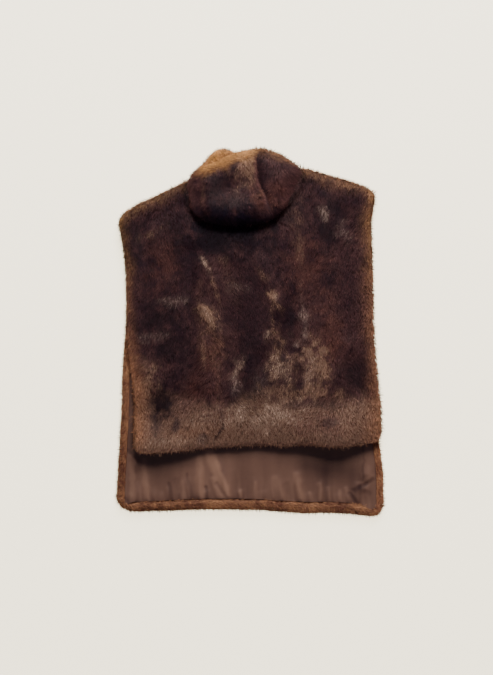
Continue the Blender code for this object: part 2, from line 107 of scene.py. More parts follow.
def uneven(places, size, seed):
    """Smooth unevenness from -1 to 1 over the plan, with patches about as large as size."""
    lattice = np.random.default_rng(seed).uniform(-1, 1, (64, 64))
    side = len(lattice)
    at = places[:, :2] / size + 200
    cell = np.floor(at).astype(int)
    along = at - cell
    along = along * along * (3 - 2 * along)
    x, y = cell[:, 0] % side, cell[:, 1] % side
    x_next, y_next = (x + 1) % side, (y + 1) % side
    low = lattice[x, y] * (1 - along[:, 0]) + lattice[x_next, y] * along[:, 0]
    high = lattice[x, y_next] * (1 - along[:, 0]) + lattice[x_next, y_next] * along[:, 0]
    return low * (1 - along[:, 1]) + high * along[:, 1]


def add_node(tree, kind, settings=None, links=None):
    """Adds a node, sets its properties or input values, and links its inputs."""
    node = tree.nodes.new(kind)
    for name, value in (settings or {}).items():
        if name in node.inputs:
            node.inputs[name].default_value = value
        else:
            setattr(node, name, value)
    for name, source in (links or {}).items():
        tree.links.new(source, node.inputs[name])
    return node


def plain_material(name, settings):
    """A material whose Principled shader has these settings."""
    material = bpy.data.materials.new(name)
    material.use_nodes = True
    shader = material.node_tree.nodes["Principled BSDF"]
    for socket, value in settings.items():
        shader.inputs[socket].default_value = value
    return material, material.node_tree, shader


def work_on(thing):
    """Selects one object alone and makes it active."""
    bpy.ops.object.select_all(action="DESELECT")
    thing.select_set(True)
    bpy.context.view_layer.objects.active = thing


def apply_modifier(thing, kind, **settings):
    """Adds a modifier with its settings and applies it."""
    modifier = thing.modifiers.new(kind.title(), kind)
    for name, value in settings.items():
        setattr(modifier, name, value)
    work_on(thing)
    bpy.ops.object.modifier_apply(modifier=modifier.name)


def over(places, form):
    """Whether a form lies under or over each place of the plan."""
    down = Vector((0, 0, -1))
    return np.array([form.ray_cast(Vector((x * MM, y * MM, 1)), down)[0] is not None
                     for x, y in places[:, :2]])


def well_under(places, form):
    """Whether a form lies over each place of the plan and over what is beside it."""
    x, y = PRESSED_IN_FROM_EDGE_MM
    beside = ((0, y, 0), (0, -y, 0), (x, 0, 0), (-x, 0, 0))
    return np.all([over(places + step, form) for step in beside], axis=0)


def vertices_of(mesh):
    """The places and the normals of a mesh's vertices, one to a row."""
    places, normals = np.empty(len(mesh.vertices) * 3), np.empty(len(mesh.vertices) * 3)
    mesh.vertices.foreach_get("co", places)
    mesh.vertex_normals.foreach_get("vector", normals)
    return places.reshape(-1, 3), normals.reshape(-1, 3)


def points_of(node):
    """The places of a CAD node's vertices, in mm."""
    return vertices_of(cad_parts[node].data)[0] / MM


def ground_cloth(node, name, pile_mm, cell_mm, pressed_by=None):
    """The knitted ground of a fur piece with its dense underfur: the piece's form, drawn in from
    its upper side and its edges by the pile's depth. Under what presses on it the pile is a mat."""
    cloth = bpy.data.objects.new(name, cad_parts[node].data.copy())
    bpy.context.scene.collection.objects.link(cloth)
    cloth.data.materials.clear()
    work_on(cloth)
    bpy.ops.object.mode_set(mode="EDIT")
    bpy.ops.mesh.select_all(action="SELECT")
    bpy.ops.mesh.remove_doubles(threshold=0.01 * MM)
    bpy.ops.object.mode_set(mode="OBJECT")
    apply_modifier(cloth, "REMESH", mode="VOXEL", voxel_size=cell_mm * MM)
    apply_modifier(cloth, "SMOOTH", factor=0.5, iterations=3)
    places, normals = vertices_of(cloth.data)
    inward = -normals * (RIM_PILE_SHARE, RIM_PILE_SHARE, 1)
    inward[:, 2] = np.minimum(inward[:, 2], 0)
    middle = (places.max(axis=0) + places.min(axis=0)) / 2
    facing_in = ((places - middle)[:, :2] * normals[:, :2]).sum(axis=1) < 0
    inward[facing_in, :2] *= INNER_RIM_SHARE
    if pressed_by:
        inward[well_under(places / MM, pressed_by), 2] *= PRESSED_SHARE
    places += inward * pile_mm * MM
    cloth.data.vertices.foreach_set("co", places.ravel())
    cloth.data.update()
    apply_modifier(cloth, "SMOOTH", factor=0.5, iterations=4)
    work_on(cloth)
    bpy.ops.object.shade_smooth()
    return cloth


def form_of(node):
    """A tree of a CAD node's faces, which answers what lies near or under a place."""
    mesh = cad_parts[node].data
    return BVHTree.FromPolygons([v.co for v in mesh.vertices], [p.vertices for p in mesh.polygons])


def depth_in(form, place, normal):
    """How far it is, in mm, from a place inside a form to its surface along a normal."""
    hit = form.ray_cast(place, normal, DEEPEST_PILE_MM * MM)[3]
    return hit / MM if hit is not None else form.find_nearest(place)[3] / MM


def roots_on(cloth, form, count, shows, seed):
    """Even random roots on a cloth where shows says that it shows: their places in mm, the cloth's
    normals there, and how deep they are in the form, which is as far as the pile reaches."""
    draw = np.random.default_rng(seed)
    mesh = cloth.data
    mesh.calc_loop_triangles()
    corners = np.empty(len(mesh.loop_triangles) * 3, int)
    mesh.loop_triangles.foreach_get("vertices", corners)
    corners = corners.reshape(-1, 3)
    places, normals = vertices_of(mesh)
    depths = np.array([depth_in(form, place, normal)
                       for place, normal in zip(places.tolist(), normals.tolist())])
    places = places / MM
    middles = places[corners].mean(axis=1)
    tilts = normals[corners].mean(axis=1)
    corners = corners[shows(middles, tilts)]
    sides = places[corners[:, 1:]] - places[corners[:, :1]]
    areas = np.linalg.norm(np.cross(sides[:, 0], sides[:, 1]), axis=1)
    sideways = 1 - np.abs(normals[corners].mean(axis=1)[:, 2])
    shares = areas * (1 + FRINGE_DENSITY * sideways)
    chosen = corners[draw.choice(len(corners), count, p=shares / shares.sum())]
    shares = draw.dirichlet((1, 1, 1), count)[:, :, None]
    roots = (places[chosen] * shares).sum(axis=1)
    lean = unit((normals[chosen] * shares).sum(axis=1))
    return roots, lean, (depths[chosen] * shares[:, :, 0]).sum(axis=1).clip(1.5, DEEPEST_PILE_MM)


def locks_of(roots, size, seed):
    """The middle of the lock that each hair is in: the nearest of those strewn one to a cell."""
    steps = np.random.default_rng(seed).uniform(0, 1, (97, 97, 2))
    side = len(steps)
    cell = np.floor(roots[:, :2] / size).astype(int)
    best = np.full(len(roots), np.inf)
    middles = np.zeros((len(roots), 2))
    for x in (-1, 0, 1):
        for y in (-1, 0, 1):
            near = cell + (x, y)
            middle = (near + steps[near[:, 0] % side, near[:, 1] % side]) * size
            distance = np.linalg.norm(middle - roots[:, :2], axis=1)
            closer = distance < best
            best[closer], middles[closer] = distance[closer], middle[closer]
    return middles


def colour_vertices(mesh, colours):
    """Gives every vertex of a mesh its colour."""
    opaque = np.append(colours, np.ones((len(colours), 1)), axis=1)
    attribute = mesh.color_attributes.new("hair_colour", "FLOAT_COLOR", "POINT")
    attribute.data.foreach_set("color", opaque.ravel())


def blade_mesh(name, points, colours):
    """One mesh of tapered blades, three faces each, from the five points and colours of each.
    Each blade has a cell of its own in the UV map, so that its colours can be baked."""
    count = len(points)
    faces = np.array([(0, 1, 3), (0, 3, 2), (2, 3, 4)])
    corners = (np.arange(count)[:, None, None] * 5 + faces).reshape(-1)
    mesh = bpy.data.meshes.new(name)
    mesh.vertices.add(count * 5)
    mesh.vertices.foreach_set("co", (points * MM).ravel())
    mesh.loops.add(len(corners))
    mesh.loops.foreach_set("vertex_index", corners)
    mesh.polygons.add(len(corners) // 3)
    mesh.polygons.foreach_set("loop_start", np.arange(0, len(corners), 3))
    mesh.update(calc_edges=True)
    colour_vertices(mesh, colours.clip(0, 1).reshape(-1, 3))
    across_map = math.ceil(math.sqrt(count))
    cells = np.stack([np.arange(count) % across_map, np.arange(count) // across_map], axis=1)
    in_cell = np.array([(0.12, 0.1), (0.88, 0.1), (0.12, 0.55), (0.88, 0.55), (0.5, 0.92)])
    uv = ((cells[:, None, :] + in_cell) / across_map).reshape(-1, 2)
    mesh.uv_layers.new(name="OFBake").data.foreach_set("uv", uv[corners].ravel())
    return mesh


def grow_fur(name, hairs, roots, normals, depths, nap, colours, seed):
    """The hairs of a fur, joined in one mesh.

    nap gives the way that the hair is combed at each root, and colours the colours of its root and
    its tip. Hairs of a lock gather towards its middle. A hair rises as far as the pile is deep,
    and further where it faces sideways, as a fringe. It is shaded mostly as the pile that it is
    part of, which is what looks soft, and a fringe glows as light comes through it."""
    draw = np.random.default_rng(seed)
    count = len(roots)
    combed = unit(nap)
    combed = combed - (combed * normals).sum(axis=1)[:, None] * normals
    length = draw.uniform(*hairs.length_mm, count)[:, None]
    sideways = 1 - np.abs(normals[:, 2])
    reach = depths * (draw.uniform(0.75, 1.1, count) + 0.15 * sideways)
    strays = (draw.uniform(0, 1, count) < STRAY_SHARE) * sideways
    past = draw.exponential(TIPS_UNEVEN_MM, count) + strays * draw.uniform(0.1, 0.9, count)
    reach = (reach + (past * (1 + FRINGE_LONGER * sideways)).clip(0, FRINGE_MM))[:, None]
    length = np.maximum(length, reach / HAIR_STEEPEST)
    rise = (reach / length).clip(0.1, HAIR_STEEPEST)
    steep = (rise * draw.uniform(1.2, 1.5, count)[:, None]).clip(0, 0.97)
    flat = (2 * rise - steep).clip(0.04, 0.9)
    sway = draw.normal(0, HAIR_SWAY, (count, 3))
    first = unit(combed * np.sqrt(1 - steep ** 2) + normals * steep + sway * 0.5)
    last = unit(combed * np.sqrt(1 - flat ** 2) + normals * flat + sway)
    risen = ((first + last) / 2 * normals).sum(axis=1)[:, None]
    length = np.minimum(length, reach / np.maximum(risen, 0.1))
    towards = locks_of(roots, hairs.lock_mm, seed + 1) - roots[:, :2]
    pull = np.zeros((count, 3))
    pull[:, :2] = towards * hairs.gather * normals[:, 2:].clip(0, 1)
    base = roots - normals * ROOT_SUNK_MM
    bend = roots + first * length / 2 + pull * 0.35
    tip = bend + last * length / 2 + pull * 0.65
    across = unit(np.cross(last, normals))
    roll = draw.uniform(-0.9, 0.9, count)[:, None]
    across = across * np.cos(roll) + normals * np.sin(roll)
    wide = draw.uniform(0.7, 1.25, count) * (1 + 0.4 * strays)
    half = across * wide[:, None] * hairs.width_mm / 2
    points = np.stack([base - half, base + half, bend - half, bend + half, tip], axis=1)
    points[:, :, 2] = np.maximum(points[:, :, 2], LOWEST_HAIR_MM)
    root_colour, tip_colour = colours
    bend_colour = (root_colour + tip_colour) / 2
    shades = np.stack([root_colour, root_colour, bend_colour, bend_colour, tip_colour], axis=1)
    mesh = blade_mesh(name, points, shades)
    facing = unit(np.cross(across, last))
    shading = normals * PILE_SHADING + facing * (1 - PILE_SHADING)
    shading[:, 2] += FRINGE_GLOW * sideways
    mesh.normals_split_custom_set_from_vertices(np.repeat(unit(shading), 5, axis=0))
    fur = bpy.data.objects.new(name, mesh)
    bpy.context.scene.collection.objects.link(fur)
    return fur


# Modacrylic hair, dyed and combed. Its shine is soft, and its colour, with painted light and shade
# in it, is given at every hair.
fur_hair, tree, shader = plain_material("modacrylic_hair", {
    "Roughness": 0.6, "Specular IOR Level": 0.14, "IOR": 1.5})
hair_colour = add_node(tree, "ShaderNodeAttribute", {"attribute_name": "hair_colour"})
tree.links.new(hair_colour.outputs["Color"], shader.inputs["Base Color"])

# Knitted ground with dense underfur, matt and darker than the hairs that stand on it.
underfur, tree, shader = plain_material("knitted_ground_with_underfur", {
    "Roughness": 0.95, "Specular IOR Level": 0.1})
underfur_colour = add_node(tree, "ShaderNodeAttribute", {"attribute_name": "hair_colour"})
tree.links.new(underfur_colour.outputs["Color"], shader.inputs["Base Color"])
place = add_node(tree, "ShaderNodeTexCoord")
grain = add_node(tree, "ShaderNodeTexNoise",
                 {"Scale": 1 / (UNDERFUR_GRAIN_MM * MM), "Detail": 3.0},
                 {"Vector": place.outputs["Object"]})
bump = add_node(tree, "ShaderNodeBump", {"Strength": 0.6, "Distance": 1.0 * MM},
                {"Height": grain.outputs["Fac"]})
tree.links.new(bump.outputs["Normal"], shader.inputs["Normal"])


def tint_ground(cloth, colours):
    """Gives a ground its material and, at every vertex, a shade of the pile that stands on it.

    colours(roots, normals) gives the colours of hair at those places, by root and by tip."""
    places, normals = vertices_of(cloth.data)
    tip = colours(places / MM, normals)[1]
    shade = tip * UNDERFUR_SHADE + linear(UNDERFUR_BROWN) * (1 - UNDERFUR_SHADE)
    colour_vertices(cloth.data, shade)
    cloth.data.materials.append(underfur)


def glinting(tip, seed):
    """Tips with some among them that catch the light."""
    catches = np.random.default_rng(seed).uniform(0, 1, len(tip)) < GLINT_SHARE
    return tip * np.where(catches, GLINT_BRIGHTER, OTHERS_DARKER)[:, None]


def finish_fur(fur):
    """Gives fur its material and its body."""
    fur.data.materials.append(fur_hair)
    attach(fur, "root")


back_cloth = ground_cloth("back_panel", "back_cloth", EDGE_PILE_MM, GROUND_CELL_MM)
back_low = np.array(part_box("back_panel")[0]) / MM
back_form, lining_form = form_of("back_panel"), form_of("back_lining")
lining_points = points_of("back_lining")
lining_low, lining_high = lining_points.min(axis=0), lining_points.max(axis=0)

# The seam along the hem, from the wearer's right to the left. Near both corners the lining is
# pulled down over the turned-in fur.
SeamDip = namedtuple("SeamDip", "x half_width depth")
SEAM_DIPS = (
    SeamDip(-240, 9, 6),
    SeamDip(232, 11, 8.5),
)
SEAM_DIP_FADES_MM = 12
SEAM_STEPS = 60
SEAM_NEAR_MM = 9
SEAM_PILE_UP_MM = 2.0
seam_x = np.linspace(lining_low[0] + 2, lining_high[0] - 2, SEAM_STEPS)
seam_y = np.array([lining_points[np.abs(lining_points[:, 0] - x) < SEAM_NEAR_MM, 1].min()
                   for x in seam_x])


def seam_dip(x):
    """How far the seam dips below its even line."""
    return sum(dip.depth * np.exp(-((x - dip.x) / dip.half_width) ** 2) for dip in SEAM_DIPS)


def on_lining(places):
    """Whether the lining covers each place of the plan."""
    x, y = places[:, 0], places[:, 1]
    seam = np.interp(x, seam_x, seam_y)
    pulled_down = (y < seam + 3) & (y > seam - seam_dip(x)) & (seam_dip(x) > 0.5)
    return over(places, lining_form) | pulled_down


def edge_shows(middles, tilts):
    """The turned-in edge and its outer side, but not the bed under the lining or what rests."""
    open_above = ~on_lining(middles) | ~on_lining(middles * (0.985, 0.99, 1))
    return open_above & (tilts[:, 2] > -0.55) & (middles[:, 2] > 1.0)


def at_hem_seam(roots):
    """1 along the hem seam's fur side and 0 a few mm below it or far from the hem."""
    below = np.interp(roots[:, 0], seam_x, seam_y) - roots[:, 1]
    return (1 - soft_step(1, 6, below)) * (1 - soft_step(18, 45, roots[:, 1] - back_low[1]))


def edge_nap(roots, normals):
    """Combed towards the hem, and along the hem to the wearer's left. It leans out over the outer
    side, and in over the seam with the lining."""
    from_hem = roots[:, 1] - back_low[1]
    at_hem = 1 - soft_step(18, 45, from_hem)
    side = np.sign(roots[:, 0])
    turn = 0.5 * uneven(roots, 35, 11) + 0.35 * uneven(roots, 12, 12)
    x = side * 0.45 * (1 - at_hem) + 0.6 * at_hem + turn + 1.1 * normals[:, 0]
    y = -0.7 * (1 - at_hem) - 0.5 * at_hem + 1.1 * normals[:, 1] + 1.3 * at_hem_seam(roots)
    return np.stack([x, y, np.full(len(roots), -0.05)], axis=1)


def edge_colours(roots, seed):
    """Orange brown, in soft patches along the edge, with painted shade towards the underside and
    painted light along the edge at +x.
    """
    draw = np.random.default_rng(seed)
    pale, deep, dark = linear(EDGE_PALE), linear(EDGE_DEEP), linear(EDGE_DARK)
    tone = (0.48 + 0.32 * uneven(roots, 26, 21) + 0.3 * uneven(roots, 8, 22)
            + draw.normal(0, 0.3, len(roots))).clip(0, 1.3)
    tip = mix(deep, pale, tone)
    # Painted shade: darker towards the underside.
    low_down = 1 - soft_step(2, 8, roots[:, 2])
    tip = mix(tip, dark, 0.42 * low_down)
    # Painted light: the fur edge is lighter at +x.
    tip = tip * (1 + 0.35 * soft_step(225, 250, roots[:, 0]))[:, None]
    return tip * 0.4 + dark * 0.3, tip


roots, normals, depths = roots_on(back_cloth, back_form, EDGE_HAIRS.count, edge_shows, 1)
depths += SEAM_PILE_UP_MM * at_hem_seam(roots)
back_fur = grow_fur("back_fur_edge", EDGE_HAIRS, roots, normals, depths, edge_nap(roots, normals),
                    edge_colours(roots, 2), 3)
finish_fur(back_fur)
tint_ground(back_cloth, lambda roots, normals: edge_colours(roots, 2))
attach(back_cloth, "root")
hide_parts("back_panel")

# Lining. Taupe polyester satin, cut a little long and gathered into the fur edge at the hem, where
# it puckers. Elsewhere it lies flat in the back's bed.
LINING_WALL_MM = 1.0
LINING_ROW_MM = 1.6
LINING_ROWS_SHOW_MM = 130.0
LINING_HIDDEN_ROW_MM = 12.0
LINING_SHORT_OF_TOP_MM = 30.0
LINING_COLUMN_MM = 2.2
LINING_UNDER_FUR_MM = 1.5
TURNED_IN_GROUND_MM = 10.2
# The satin's shaded, taupe and lit colours, which its painted sheen and shade run between, and the
# tint of its real sheen.
SATIN_SHADED, SATIN_TAUPE, SATIN_LIT = "#29120f", "#5f4336", "#876551"
SATIN_SHEEN = "#c9a591"
SATIN_STREAK_MM = (34, 120)
SATIN_FLOAT_MM = (0.7, 3.5)

# Creases of the satin where it is gathered and rucked: lines in mm, how far they rise or sink, and
# how much light the satin turns to the eye along them, painted into its colour as sheen or shade.
Crease = namedtuple("Crease", "x y x_to y_to half_width rise gloss")
SATIN_CREASES = (
    Crease(-80, -240, -45, -330, 10, 0.8, 0.68),
    Crease(-66, -256, -46, -306, 5, 0.3, 0.2),
    Crease(-100, -250, -98, -326, 9, 0.5, 0.3),
    Crease(-207, -252, -204, -334, 6, 0.5, 0.32),
    Crease(-231, -244, -232, -334, 6, 0.5, 0.42),
    Crease(-182, -268, -186, -334, 8, 0.2, -0.12),
    Crease(-124, -280, -112, -330, 4, -0.4, -0.3),
    Crease(-146, -290, -140, -330, 5, -0.3, -0.18),
    Crease(-88, -303, -82, -330, 3.2, -0.6, -0.6),
    Crease(-68, -296, -48, -322, 3.6, -0.5, -0.4),
    Crease(-76, -287, -60, -326, 5, 0.5, 0.3),
    Crease(-160, -296, -154, -332, 3.6, -0.3, -0.3),
    Crease(-134, -296, -128, -334, 5, 0.4, 0.12),
    Crease(-20, -312, -18, -334, 4, 0.4, 0.3),
    Crease(9, -296, 8, -334, 4, 0.5, 0.25),
    Crease(50, -286, 64, -334, 7, 0.6, 0.18),
    Crease(91, -280, 99, -334, 7, 0.7, 0.27),
    Crease(72, -300, 84, -334, 6, -0.2, -0.15),
    Crease(117, -316, 118, -336, 4, 0.4, 0.25),
    Crease(136, -300, 139, -336, 5.5, 0.5, 0.3),
    Crease(152, -306, 155, -336, 4, 0.4, 0.22),
    Crease(175, -312, 177, -338, 4, 0.4, 0.22),
    Crease(188, -306, 197, -338, 4.5, 0.5, 0.2),
    Crease(194, -318, 214, -342, 4.2, -0.5, -0.4),
    Crease(203, -309, 226, -296, 5.0, -0.5, -0.32),
    Crease(224, -298, 240, -288, 4.0, -0.4, -0.3),
    Crease(212, -297, 238, -284, 6, 0.6, 0.12),
    Crease(214, -303, 232, -316, 5, -0.4, -0.25),
    Crease(220, -222, 220, -290, 2.8, -0.4, -0.3),
    Crease(232, -230, 232, -285, 7, 0.3, 0.12),
    Crease(244, -220, 248, -287, 3.4, -0.3, -0.45),
    Crease(-251, -318, -235, -338, 3.2, -0.3, -0.5),
    Crease(-240, -231, -227, -244, 3.2, -0.3, -0.4),
    # The flat ones, which neither rise nor sink, are painted shade only: in the narrow strip beside
    # the front's side at -x, and the shadow under the front's lifted hem.
    Crease(-240, -40, -238, -222, 14, 0, -0.4),
    Crease(20, -262, 150, -275, 34, 0, -0.12),
    Crease(150, -290, 200, -302, 26, 0, -0.25),
    Crease(110, -262, 196, -272, 20, 0, -0.45),
    Crease(-215, -252, -130, -250, 16, 0, -0.3),
    Crease(-180, -270, -130, -300, 26, 0, -0.1),
)
BROAD_CREASE_MM = 12
# Fine puckers that run up from the hem seam and fade out, painted lighter on their crests as sheen
# and darker between them as shade.
PUCKER_WIDTH_MM = 5.5
PUCKER_FADES_MM = 34.0
PUCKER_RISE_MM = 0.35
PUCKER_PAINTED_SHEEN = 0.22

lining_edges = np.array([e.vertices[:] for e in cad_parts["back_lining"].data.edges])
edge_start, edge_end = lining_points[lining_edges[:, 0]], lining_points[lining_edges[:, 1]]


def lining_span(y):
    """The lining's lowest and highest x in a row of the plan."""
    crosses = (edge_start[:, 1] - y) * (edge_end[:, 1] - y) <= 0
    start, end = edge_start[crosses], edge_end[crosses]
    rise = end[:, 1] - start[:, 1]
    share = np.where(np.abs(rise) > 1e-9, (y - start[:, 1]) / np.where(rise == 0, 1, rise), 0)
    x = start[:, 0] + share * (end[:, 0] - start[:, 0])
    return x.min() - LINING_UNDER_FUR_MM, x.max() + LINING_UNDER_FUR_MM


lining_length = lining_high[1] - lining_low[1] - LINING_SHORT_OF_TOP_MM
row_places = [-LINING_UNDER_FUR_MM, *np.arange(0, LINING_ROWS_SHOW_MM, LINING_ROW_MM),
              *np.arange(LINING_ROWS_SHOW_MM, lining_length, LINING_HIDDEN_ROW_MM)]
columns = int((lining_high[0] - lining_low[0]) / LINING_COLUMN_MM)
plan = []
for from_seam in row_places:
    row = []
    for share in np.linspace(0, 1, columns):
        x = seam_x[0] + (seam_x[-1] - seam_x[0]) * share
        dip = seam_dip(x) * math.exp(-(max(from_seam, 0) / SEAM_DIP_FADES_MM) ** 2)
        y = float(np.interp(x, seam_x, seam_y)) + from_seam - dip
        low, high = lining_span(min(max(y, seam_y.max() + 2), lining_high[1] - 2))
        row.append((low + (high - low) * share, y))
    plan.append(row)
plan = np.array(plan)


def lining_level(x, y):
    """The level of the lining's upper side. Past its solid it lies up on the turned-in ground."""
    hit = lining_form.ray_cast(Vector((x * MM, y * MM, 1)), Vector((0, 0, -1)))[0]
    return hit.z / MM if hit is not None else TURNED_IN_GROUND_MM


def distance_to(crease, places):
    """How far places of the plan are from a crease's line, which wavers."""
    start = np.array([crease.x, crease.y])
    along = np.array([crease.x_to, crease.y_to]) - start
    share = (((places - start) @ along) / (along @ along)).clip(0, 1)
    return np.linalg.norm(places - start - share[..., None] * along, axis=-1)


level = np.array([[lining_level(x, y) for x, y in row] for row in plan])
flat_plan = plan.reshape(-1, 2)
waver = np.stack([2.2 * uneven(flat_plan, 17, 71) + 1.0 * uneven(flat_plan, 7, 72),
                  2.0 * uneven(flat_plan, 15, 73)], axis=1).reshape(plan.shape)
for _ in range(2):
    smooth = level.copy()
    smooth[:, 1:-1] = (level[:, :-2] + 2 * level[:, 1:-1] + level[:, 2:]) / 4
    smooth[1:-1] = (smooth[:-2] + 2 * smooth[1:-1] + smooth[2:]) / 4
    level = smooth
gloss = np.zeros(level.shape)
for crease in SATIN_CREASES:
    away = distance_to(crease, plan + waver) / crease.half_width
    level += crease.rise * np.exp(-away ** 2)
    falloff = 2 if crease.half_width > BROAD_CREASE_MM else 3.5
    gloss += crease.gloss * np.exp(-away ** falloff)

up_from_seam = np.repeat(row_places, columns)
sideways_only = np.stack([flat_plan[:, 0] + 3 * uneven(flat_plan, 14, 74), 0 * up_from_seam], axis=1)
puckers = uneven(sideways_only, PUCKER_WIDTH_MM, 75) * np.exp(-up_from_seam / PUCKER_FADES_MM)
level += PUCKER_RISE_MM * puckers.reshape(level.shape)
gloss += PUCKER_PAINTED_SHEEN * puckers.reshape(level.shape)

bpy.ops.object.select_all(action="DESELECT")
bpy.ops.mesh.primitive_grid_add(x_subdivisions=columns - 1, y_subdivisions=len(row_places) - 1,
                                size=1)
lining_satin = bpy.context.object
lining_satin.name = "lining_satin"
lining_satin.data.name = "lining_satin"
laid = np.concatenate([plan, level[:, :, None]], axis=2) * MM
lining_satin.data.vertices.foreach_set("co", laid.ravel())
lining_satin.data.update()
painted_sheen_layer = lining_satin.data.attributes.new("painted_satin_sheen", "FLOAT", "POINT")
painted_sheen_layer.data.foreach_set("value", (0.5 + gloss.ravel() / 2).clip(0, 1))
apply_modifier(lining_satin, "SOLIDIFY", thickness=LINING_WALL_MM * MM, offset=-1)
work_on(lining_satin)
bpy.ops.object.shade_smooth()

# Polyester satin: long smooth floats along the length, so a soft sheen with a fine grain.
satin, tree, shader = plain_material("polyester_satin", {
    "Roughness": 0.48, "Specular IOR Level": 0.3, "Sheen Weight": 0.12, "Sheen Roughness": 0.4,
    "Sheen Tint": (*linear(SATIN_SHEEN), 1)})
place = add_node(tree, "ShaderNodeTexCoord")
painted_sheen_node = add_node(tree, "ShaderNodeAttribute", {"attribute_name": "painted_satin_sheen"})
streak_scale = [1 / (size * MM) for size in SATIN_STREAK_MM]
streak_place = add_node(tree, "ShaderNodeMapping", {"Scale": (*streak_scale, 1.0)},
                        {"Vector": place.outputs["Object"]})
streaks = add_node(tree, "ShaderNodeTexNoise", {"Scale": 1.0, "Detail": 1.0, "Roughness": 0.4},
                   {"Vector": streak_place.outputs["Vector"]})
soft_streaks = add_node(tree, "ShaderNodeMapRange", {"From Min": 0.3, "From Max": 0.7,
                                                     "To Min": -0.07, "To Max": 0.07},
                        {"Value": streaks.outputs["Fac"]})
# The satin's colour is painted: the sheen and shade of its creases and puckers, with soft random
# streaks of tone, run it from shaded through taupe to lit.
satin_light = add_node(tree, "ShaderNodeMath", {"operation": "ADD"})
tree.links.new(painted_sheen_node.outputs["Fac"], satin_light.inputs[0])
tree.links.new(soft_streaks.outputs["Result"], satin_light.inputs[1])
tone = add_node(tree, "ShaderNodeValToRGB", {}, {"Fac": satin_light.outputs["Value"]})
stops = tone.color_ramp.elements
stops[0].color = (*linear(SATIN_SHADED), 1)
stops[1].color = (*linear(SATIN_LIT), 1)
stops.new(0.5).color = (*linear(SATIN_TAUPE), 1)
tree.links.new(tone.outputs["Color"], shader.inputs["Base Color"])
weave_scale = [1 / (size * MM) for size in SATIN_FLOAT_MM]
weave_place = add_node(tree, "ShaderNodeMapping", {"Scale": (*weave_scale, 1.0)},
                       {"Vector": place.outputs["Object"]})
weave = add_node(tree, "ShaderNodeTexNoise", {"Scale": 1.0, "Detail": 1.0},
                 {"Vector": weave_place.outputs["Vector"]})
bump = add_node(tree, "ShaderNodeBump", {"Strength": 0.12, "Distance": 0.3 * MM},
                {"Height": weave.outputs["Fac"]})
tree.links.new(bump.outputs["Normal"], shader.inputs["Normal"])
lining_satin.data.materials.append(satin)
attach(lining_satin, "root")
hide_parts("back_lining")

# Front. Dark fur-fabric, fur side up, sewn to the back along the shoulders and otherwise free. Its
# pile is combed to the hem and ruffled by handling, so that it shows light and dark by turns,
# painted into its hairs as sheen and shade.
FRONT_PILE_MM = 5.2
FRONT_UNDER_HAIRS = Hairs(64000, (6.5, 9.0), 1.3, 7.0, 0.12)
FRONT_UNDER_REACH = 0.85
FRONT_UNDER_BRIGHT = 0.85
FRONT_GUARD_HAIRS = Hairs(56000, (8.0, 11.5), 0.7, 7.0, 0.12)
FRONT_GUARD_REACH = 1.0
FRONT_GUARD_BRIGHT = 1.1
RUFFLED_MM = 10.0
RUFFLED_BESIDE_MM = 10
OUTLINE_X_MM = (-250, 250)
OUTLINE_Y_MM = (-230, 300)
OUTLINE_STEP_MM = 5.0
OUTLINE_NEAR_MM = 14

# The colours that the nap shows: what it turns to the eye differs with the way it lies to the light.
# The pale, grey and tan ones are painted sheen and the shade and navy ones painted shade; gold,
# olive and light gold are also laid as painted light at the front's edges and the roll's top fold.
NAP_SHADES = {
    "painted_shadow": linear("#150b1c"),
    "shade": linear("#190812"),
    "dark": linear("#2b141b"),
    "brown": linear("#553532"),
    "russet": linear("#5c352c"),
    "tan": linear("#85634f"),
    "grey": linear("#8a7165"),
    "pale": linear("#ab8b76"),
    "olive": linear("#86603a"),
    "gold": linear("#9e6c4e"),
    "light_gold": linear("#cc8c4c"),
}
